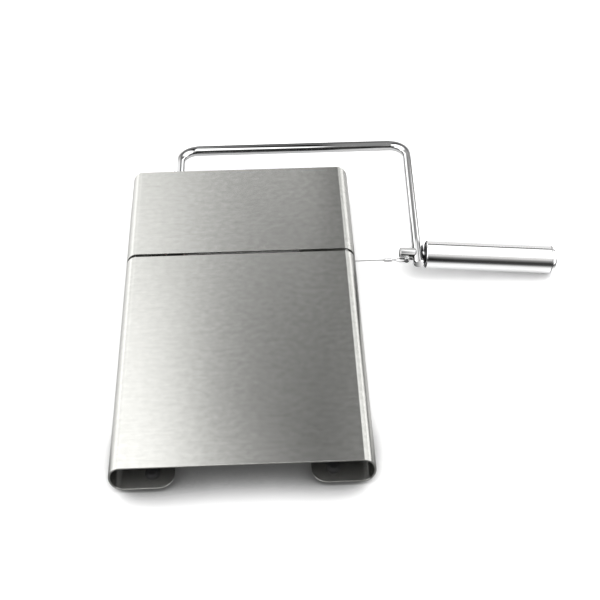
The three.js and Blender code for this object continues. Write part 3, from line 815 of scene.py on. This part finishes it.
def rod_path():
    """Middle line and radius of the bent rod, with its turned grooves and chamfered ends."""
    z = PIVOT.z
    bar_y = ROD_HIGH.y - ROD_RADIUS
    bend_y = bar_y - ROD_BEND
    left = Vector((PIVOT.x + ROD_BEND, bend_y, z))
    run = bend_y - HANDLE_AT.y
    right = Vector((HANDLE_AT.x + run * math.tan(ROD_TOE) - ROD_BEND / math.cos(ROD_TOE), bend_y, z))
    stations = [(Vector((PIVOT.x, ROD_LOW.y, z)), ROD_RADIUS - END_CHAMFER),
                (Vector((PIVOT.x, ROD_LOW.y + END_CHAMFER, z)), ROD_RADIUS)]
    for y, depth, width in rod_grooves():
        for place, radius in ((y - width / 2, ROD_RADIUS), (y - width / 2, depth), (y + width / 2, depth),
                              (y + width / 2, ROD_RADIUS)):
            stations.append((Vector((PIVOT.x, place, z)), radius))
    first = arc(left, Vector((PIVOT.x, bend_y, z)), math.pi / 2, 24)
    second = arc(right, Vector((right.x, bar_y, z)), math.pi / 2 + ROD_TOE, 24)
    stations += [(p, ROD_RADIUS) for p in first + second]
    inward = Vector((-math.sin(ROD_TOE), -math.cos(ROD_TOE), 0))
    length = (second[-1].y - HANDLE_LEG_END) / math.cos(ROD_TOE)
    end = second[-1] + inward * length
    stations += [(end - inward * END_CHAMFER, ROD_RADIUS), (end, ROD_RADIUS - END_CHAMFER)]
    return stations


def rod_grooves():
    """Place, depth and width of the wire's groove and of the two clip grooves, front to back."""
    grooves = [(SLOT_Y, WIRE_GROOVE, 1.2 * MM)]
    for name in ("retaining_clip_front", "retaining_clip_rear"):
        low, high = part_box(name)
        grooves.append(((low.y + high.y) / 2, CLIP_GROOVE, 0.9 * MM))
    return grooves


def straight_tube(stations, segments):
    """A tube whose section stays square to the path even where two stations share a place."""
    points = [p for p, _ in stations]
    verts, uvs = [], []
    length = 0.0
    for i, (point, radius) in enumerate(stations):
        ahead = next((q for q in points[i + 1:] if (q - point).length > 1e-7), None)
        behind = next((q for q in reversed(points[:i]) if (q - point).length > 1e-7), None)
        heading = ((ahead - point).normalized() if ahead else Vector()) + \
                  ((point - behind).normalized() if behind else Vector())
        across = heading.normalized().cross(UP)
        if i:
            length += (point - points[i - 1]).length
        circle, rounds = ring(point, across, UP, radius, segments)
        verts += circle
        uvs += [(way, length) for way in rounds]
    rows = [range(i * segments, (i + 1) * segments) for i in range(len(stations))]
    faces = [quad for low, high in zip(rows, rows[1:]) for quad in wall(low, high)]
    faces += [list(rows[0]), list(rows[-1])]
    return verts, faces, uvs


def build_rod(material):
    verts, faces, uvs = straight_tube(rod_path(), 48)
    piece = finish_mesh("arm_rod_bent", verts, faces, material, "arm", ["arm_rod"], "bright_chrome", uvs)
    hole = [(0, -9), (2.35, -9), (2.35, 9), (0, 9)]
    cutter = lathe([Vector(p) * MM for p in hole], HANDLE_AT, HANDLE_ALONG, 40)
    return cut_with(piece, [cutter[:2]])


# ---------------------------------------------------------------- wire


def hook_point():
    """Middle of the hook pin where the wire crosses it."""
    middle = (PIN_LOW + PIN_HIGH) / 2
    share = (SLOT_Y - middle.y) / HANDLE_BACK.y
    return middle + HANDLE_BACK * share


def helix(start, along, radius, turns, pitch, steps_per_turn=14):
    """Points wound round a straight stretch."""
    side = Vector((0, 1, 0))
    across = along.cross(side)
    points = []
    for k in range(int(turns * steps_per_turn) + 1):
        angle = 2 * math.pi * k / steps_per_turn
        lead = along * (pitch * k / steps_per_turn)
        points.append(start + lead + (side * math.cos(angle) + across * math.sin(angle)) * radius)
    return points


def wire_path():
    """One wire: wound end, eye in the rod's groove, the cutting span, the long loop, wound end."""
    hook = hook_point()
    eye_radius = WIRE_GROOVE + 0.05 * MM + WIRE_RADIUS
    start = Vector((PIVOT.x + eye_radius + 0.6 * MM, SLOT_Y, PIVOT.z))
    mouth = hook + Vector((-8.0 * MM, 0, 0))
    mouth.y = SLOT_Y
    along = (mouth - start).normalized()
    pitch = 0.84 * MM
    turns = 5.5
    wound = 2 * WIRE_RADIUS
    left = helix(start + along * (pitch * turns), -along, wound, turns, pitch)
    eye = [Vector((PIVOT.x + eye_radius * math.cos(a), SLOT_Y, PIVOT.z + eye_radius * math.sin(a)))
           for a in (math.radians(28 + 304 * k / 28) for k in range(29))]
    loop = loop_path(hook)
    right = helix(mouth - along * 0.3 * MM, -along, wound, turns, pitch)
    return left + eye + [start, mouth] + loop + right


def loop_path(hook):
    """The long loop that hooks over the pin, from the mouth round and back to it."""
    half = 1.85 * MM
    far = -0.2 * MM
    near = -3.4 * MM
    points = [(-7.0, 0.25), (-6.0, 0.75), (-4.7, 1.4)]
    upper = [Vector((x * MM, 0, z * MM)) for x, z in points] + [Vector((near, 0, half))]
    bow = [Vector((far + half * math.sin(a), 0, half * math.cos(a)))
           for a in (math.pi * k / 16 for k in range(17))]
    lower = [Vector((p.x, 0, -p.z)) for p in reversed(upper)]
    return [Vector((hook.x, SLOT_Y, hook.z)) + p for p in upper + bow + lower]


def build_wire(material):
    path = wire_path()
    verts, faces, uvs = tube(path, [WIRE_RADIUS] * len(path), 12)
    return finish_mesh("cutting_wire_wound", verts, faces, material, "arm",
                       ["cutting_wire"], "wire_steel", uvs)


# ---------------------------------------------------------------- tension bolt and handle


def toe_axis():
    """The handle leg's direction, from its end towards the bend."""
    return Vector((math.sin(ROD_TOE), math.cos(ROD_TOE), 0))


def cylinder(radius, low, high, origin, axis, segments=40):
    """A closed cylinder in millimetres along an axis, as (verts, faces)."""
    profile = [Vector(p) * MM for p in ((0, low), (radius, low), (radius, high), (0, high))]
    return lathe(profile, origin, axis, segments)[:2]


def build_bolt(material):
    """The head's saddle sits round the rod; the shank runs through the rod into the handle."""
    hook_at = HANDLE_AT - HANDLE_ALONG * HOOK_BACK
    head = [(0, -10.8), (3.5, -10.8, 0.45), (3.5, -2.0), (0, -2.0)]
    piece = turned("tension_bolt_head", head, HANDLE_AT, HANDLE_ALONG, material, "tension_bolt",
                   slot="bright_chrome", replaces=["tension_bolt"])
    saddle = cylinder(3.5, -12, 12, HANDLE_AT, toe_axis(), 64)
    pin_hole = cylinder(1.25, 0.6, 5, hook_at, -HANDLE_BACK)
    cut_with(piece, [saddle, pin_hole])
    shank = [(0, -8.0), (1.9, -8.0), (2.0, -3.6), (2.0, 26.5, 0.2), (1.5, 27, 0.2), (0, 27)]
    turned("tension_bolt_shank", shank, HANDLE_AT, HANDLE_ALONG, material, "tension_bolt", 40,
           slot="bright_chrome", replaces=["tension_bolt"])


def build_hook_pin(material):
    hook_at = HANDLE_AT - HANDLE_ALONG * HOOK_BACK
    out = (hook_point() - hook_at).length / MM + 0.4 + 0.3
    corners = [
        (0, 0.9), (1.2, 0.9), (1.2, out, 0.1), (1.8, out, 0.1), (1.8, out + 0.5, 0.25), (1.2, out + 0.8, 0.3),
        (0, out + 0.8),
    ]
    turned("wire_hook_pin_turned", corners, hook_at, -HANDLE_BACK, material, "tension_bolt", 40,
           replaces=["wire_hook_pin"], slot="bright_chrome")


def build_washer(material):
    corners = [
        (2.1, 3.6), (2.2, 3.5), (4.6, 3.5, 0.15), (4.6, 4.25, 0.15), (2.2, 4.25), (2.1, 4.15), (2.1, 3.6),
    ]
    turned("thrust_washer_turned", corners, HANDLE_AT, HANDLE_ALONG, material, "arm",
           replaces=["thrust_washer"], slot="zinc_steel")


def build_handle(steel, zinc):
    tube_corners = [
        (7.1, 4.3), (7.4, 4.0, 0.2), (7.7, 4.0, 0.25), (8.1, 4.5, 0.3), (8.1, 76.25, 0.12),
        (7.98, 76.4), (7.1, 76.4), (7.1, 4.3),
    ]
    turned("handle_tube_polished", tube_corners, HANDLE_AT, HANDLE_ALONG, steel, "handle", 96,
           replaces=["handle_tube"], slot="polished_steel")
    cap_corners = [
        (0, 70.4), (6.7, 70.4), (7.0, 70.7), (7.0, 76.7), (7.95, 76.7), (8.1, 76.85, 0.12),
        (8.1, 79.4, 2.3), (0, 79.4),
    ]
    turned("handle_end_cap_polished", cap_corners, HANDLE_AT, HANDLE_ALONG, steel, "handle", 96,
           replaces=["handle_end_cap"], slot="polished_steel")
    insert_corners = [
        (2.1, 4.75), (2.3, 4.55), (4.8, 4.55, 0.25), (4.8, 6.8, 0.2), (7.0, 6.8, 0.2), (7.0, 24, 0.2),
        (2.1, 24), (2.1, 4.75),
    ]
    turned("handle_insert_turned", insert_corners, HANDLE_AT, HANDLE_ALONG, zinc, "handle", 64,
           replaces=["handle_insert"], slot="zinc_steel")


# ---------------------------------------------------------------- floor, lights, world and camera


def flat_sheet(name, low, high, z, order, material):
    """A level rectangle, its corners taken in the given order."""
    corners = [(low.x, low.y, z), (high.x, low.y, z), (high.x, high.y, z), (low.x, high.y, z)]
    mesh = bpy.data.meshes.new(name)
    mesh.from_pydata(corners, [], [order])
    mesh.materials.append(material)
    sheet = bpy.data.objects.new(name, mesh)
    bpy.context.scene.collection.objects.link(sheet)
    return sheet


def build_floor(material):
    """A large pale floor that the feet stand on."""
    corner = Vector((FLOOR_HALF, FLOOR_HALF))
    floor = flat_sheet("floor", -corner, corner, TABLE_Z, (0, 1, 2, 3), material)


def seen_from(n):
    """Shares that are 1 where a ray comes from the arm's right leg, and from its back bar."""
    geometry = n.node("ShaderNodeNewGeometry")
    back_along = n.node("ShaderNodeVectorMath", operation="SCALE")
    n.put(back_along.inputs[0], geometry.outputs["Incoming"])
    n.put(back_along.inputs["Scale"], n.node("ShaderNodeLightPath").outputs["Ray Length"])
    start = n.node("ShaderNodeVectorMath", operation="ADD")
    n.put(start.inputs[0], geometry.outputs["Position"])
    n.put(start.inputs[1], back_along.outputs[0])
    x, y, _ = n.parts(start.outputs[0])
    bar = n.step(y, 0.120, 0.130)
    leg = n.math("MULTIPLY", n.step(y, 0.045, 0.050), n.step(x, 0.075, 0.080))
    return n.math("MULTIPLY", leg, n.math("SUBTRACT", 1.0, bar)), bar


def build_ceiling():
    """A light card above the object, which only polished metal sees."""
    material, n = new_material("light_card")
    card = flat_sheet("light_card", CARD_LOW, CARD_HIGH, CEILING_Z, (3, 2, 1, 0), material)
    card.visible_camera = card.visible_diffuse = card.visible_shadow = card.visible_transmission = False
    x, y, _ = n.parts(n.node("ShaderNodeTexCoord").outputs["Object"])
    leg, bar = seen_from(n)
    light = card_right(n, card_gradient(n, x, y), x, y, leg)
    light = card_shades(n, light, x, y, leg, bar)
    glow = n.node("ShaderNodeEmission")
    n.put(glow.inputs["Strength"], light)
    n.output("ShaderNodeOutputMaterial", glow)


def card_gradient(n, x, y):
    """Bright on the left and dark in the middle in front; the two come closer towards the back."""
    back = n.math("DIVIDE", n.math("SUBTRACT", y, CARD_BACK), CARD_DEPTH, clamp=True)
    slant = n.math("MULTIPLY", n.math("MAXIMUM", n.math("SUBTRACT", CARD_BACK, y), 0.0), CARD_SLANT)
    bright = n.math("MULTIPLY_ADD", back, -1.0, 2.1)
    dark = n.math("MULTIPLY_ADD", n.math("POWER", back, 2.2), 1.05, 0.01)
    start = n.math("MULTIPLY_ADD", back, -0.12, -0.17)
    stop = n.math("MULTIPLY_ADD", back, 0.20, -0.06)
    return n.toward(n.step(n.math("SUBTRACT", x, slant), start, stop, 1.0, 0.0), dark, bright)


def card_right(n, light, x, y, leg):
    """A grey gap that widens towards the back, white to its right, and a dark strip in the white."""
    past = n.math("MAXIMUM", n.math("SUBTRACT", y, 0.4), 0.0)
    aside = n.math("SUBTRACT", x, n.math("MULTIPLY_ADD", past, 0.12, 0.145))
    reach = n.math("MULTIPLY_ADD", past, 0.10, 0.035)
    gap = n.step(n.math("SUBTRACT", n.math("ABSOLUTE", aside), reach), 0.0, 0.04, 1.0, 0.0)
    light = n.toward(gap, light, CARD_GAP)
    light = n.toward(n.step(n.math("SUBTRACT", aside, reach), 0.0, 0.05), light, CARD_RIGHT)
    strip = n.step(n.math("ABSOLUTE", n.math("SUBTRACT", y, 0.88)), 0.20, 0.27, 1.0, 0.0)
    strip = n.math("MULTIPLY", strip, n.step(x, 0.20, 0.25))
    return n.toward(n.math("MULTIPLY", strip, n.math("SUBTRACT", 1.0, leg)), light, CARD_STRIP)


def card_shades(n, light, x, y, leg, bar):
    """Darker areas at the back: one that only the arm's leg shows, one that only its back bar shows."""
    shade = n.math("MULTIPLY", n.step(x, 0.0, 0.12, 1.0, 0.0), n.step(y, 0.62, 0.68))
    shade = n.math("MULTIPLY", n.math("MAXIMUM", shade, n.step(y, 0.76, 0.84)), n.step(x, -0.50, -0.35))
    light = n.toward(n.math("MULTIPLY", shade, leg), light, LEG_SHADE)
    return n.toward(n.math("MULTIPLY", n.step(y, 0.45, 0.68), bar), light, BAR_SHADE)


def studio_light(n, deep):
    """What polished metal sees all round: dark low down, bright above and at the sides."""
    x, y, z = n.parts(n.node("ShaderNodeTexCoord").outputs["Generated"])
    arch = n.math("ARCTAN2", z, n.math("MULTIPLY", y, -1.0))
    ramp = n.node("ShaderNodeValToRGB")
    n.put(ramp.inputs[0], n.math("DIVIDE", arch, math.pi, clamp=True))
    stops = [(0.0, 0.05), (0.08, 0.06), (0.16, 0.33), (0.22, 0.85), (0.27, 1.0), (1.0, 1.0)]
    while len(ramp.color_ramp.elements) < len(stops):
        ramp.color_ramp.elements.new(0.5)
    for element, (place, value) in zip(ramp.color_ramp.elements, stops):
        element.position = place
        element.color = grey(value, 0.01)
    middle = n.step(n.math("ABSOLUTE", n.math("SUBTRACT", x, 0.02)), 0.08, 0.11, 1.0, 0.0)
    person = n.math("MULTIPLY", middle, n.step(arch, 0.75, 1.05, 1.0, 0.0))
    light = n.mix(n.math("MULTIPLY", person, 0.85), ramp.outputs[0], grey(0.0))
    low_back = n.math("MULTIPLY", middle, n.step(arch, 2.3, 2.5))
    light = n.mix(n.math("MULTIPLY", low_back, 0.90), light, grey(0.03))
    light = n.mix(n.step(n.math("ABSOLUTE", x), 0.42, 0.60), light, grey(SIDE_WORLD))
    return n.mix(n.math("MULTIPLY", deep, DEEP_WORLD_LOSS), light, grey(0.0))


def build_world():
    """White for the camera, even for matt surfaces, and the studio for polished metal."""
    world = bpy.data.worlds.new("studio")
    world.use_nodes = True
    bpy.context.scene.world = world
    n = Nodes(world.node_tree)
    rays = n.node("ShaderNodeLightPath")
    deep = n.math("GREATER_THAN", rays.outputs["Glossy Depth"], 1.5)
    glossy = n.background(studio_light(n, deep), 1.0)
    even = n.background(grey(1.0), DIFFUSE_WORLD)
    metal = n.mix_shaders(rays.outputs["Is Glossy Ray"], even, glossy)
    seen = n.mix_shaders(rays.outputs["Is Camera Ray"], metal, n.background(grey(1.0), 1.0))
    n.output("ShaderNodeOutputWorld", seen)


def build_camera():
    """A near view from the front, looking down at about fifty degrees."""
    azimuth, elevation, roll = (math.radians(v) for v in CAMERA_ANGLES)
    level = math.cos(elevation)
    back = Vector((math.sin(azimuth) * level, -math.cos(azimuth) * level, math.sin(elevation)))
    right = (-back).cross(UP).normalized()
    up = right.cross(-back)
    turned_right = right * math.cos(roll) + up * math.sin(roll)
    turned_up = up * math.cos(roll) - right * math.sin(roll)
    camera = bpy.data.cameras.new("camera")
    camera.sensor_width = 36
    camera.lens = CAMERA_LENS
    camera.clip_start = 0.01
    camera.clip_end = 50
    view = bpy.data.objects.new("camera", camera)
    axes = Matrix((turned_right, turned_up, back)).transposed().to_4x4()
    view.matrix_world = Matrix.Translation(CAMERA_AT) @ axes
    bpy.context.scene.collection.objects.link(view)
    bpy.context.scene.camera = view


# ---------------------------------------------------------------- assembly

stainless = brushed_board()
chrome = bright_chrome()
steel = bright_chrome("polished_steel", 0.78, 0.09, 0.5)
wire = drawn_wire()
zinc = zinc_plate()
spring = spring_steel()
nylon = white_nylon()
rubber = black_rubber()

build_board(stainless)
build_feet(rubber)
build_rivets(zinc)
build_bushes(nylon)
build_sheet_parts(zinc, spring)
build_rod(chrome)
build_wire(wire)
build_bolt(chrome)
build_hook_pin(chrome)
# The washer is coloured nearly black: painted shade for the dark recess at the handle's inner end.
build_washer(zinc_plate("zinc_dark_as_shade", (0.03, 0.03, 0.032, 1), (0.09, 0.088, 0.085, 1)))
build_handle(steel, zinc)

build_floor(pale_floor())
build_ceiling()
build_world()
build_camera()
scene = bpy.context.scene
scene.view_settings.view_transform = "Standard"
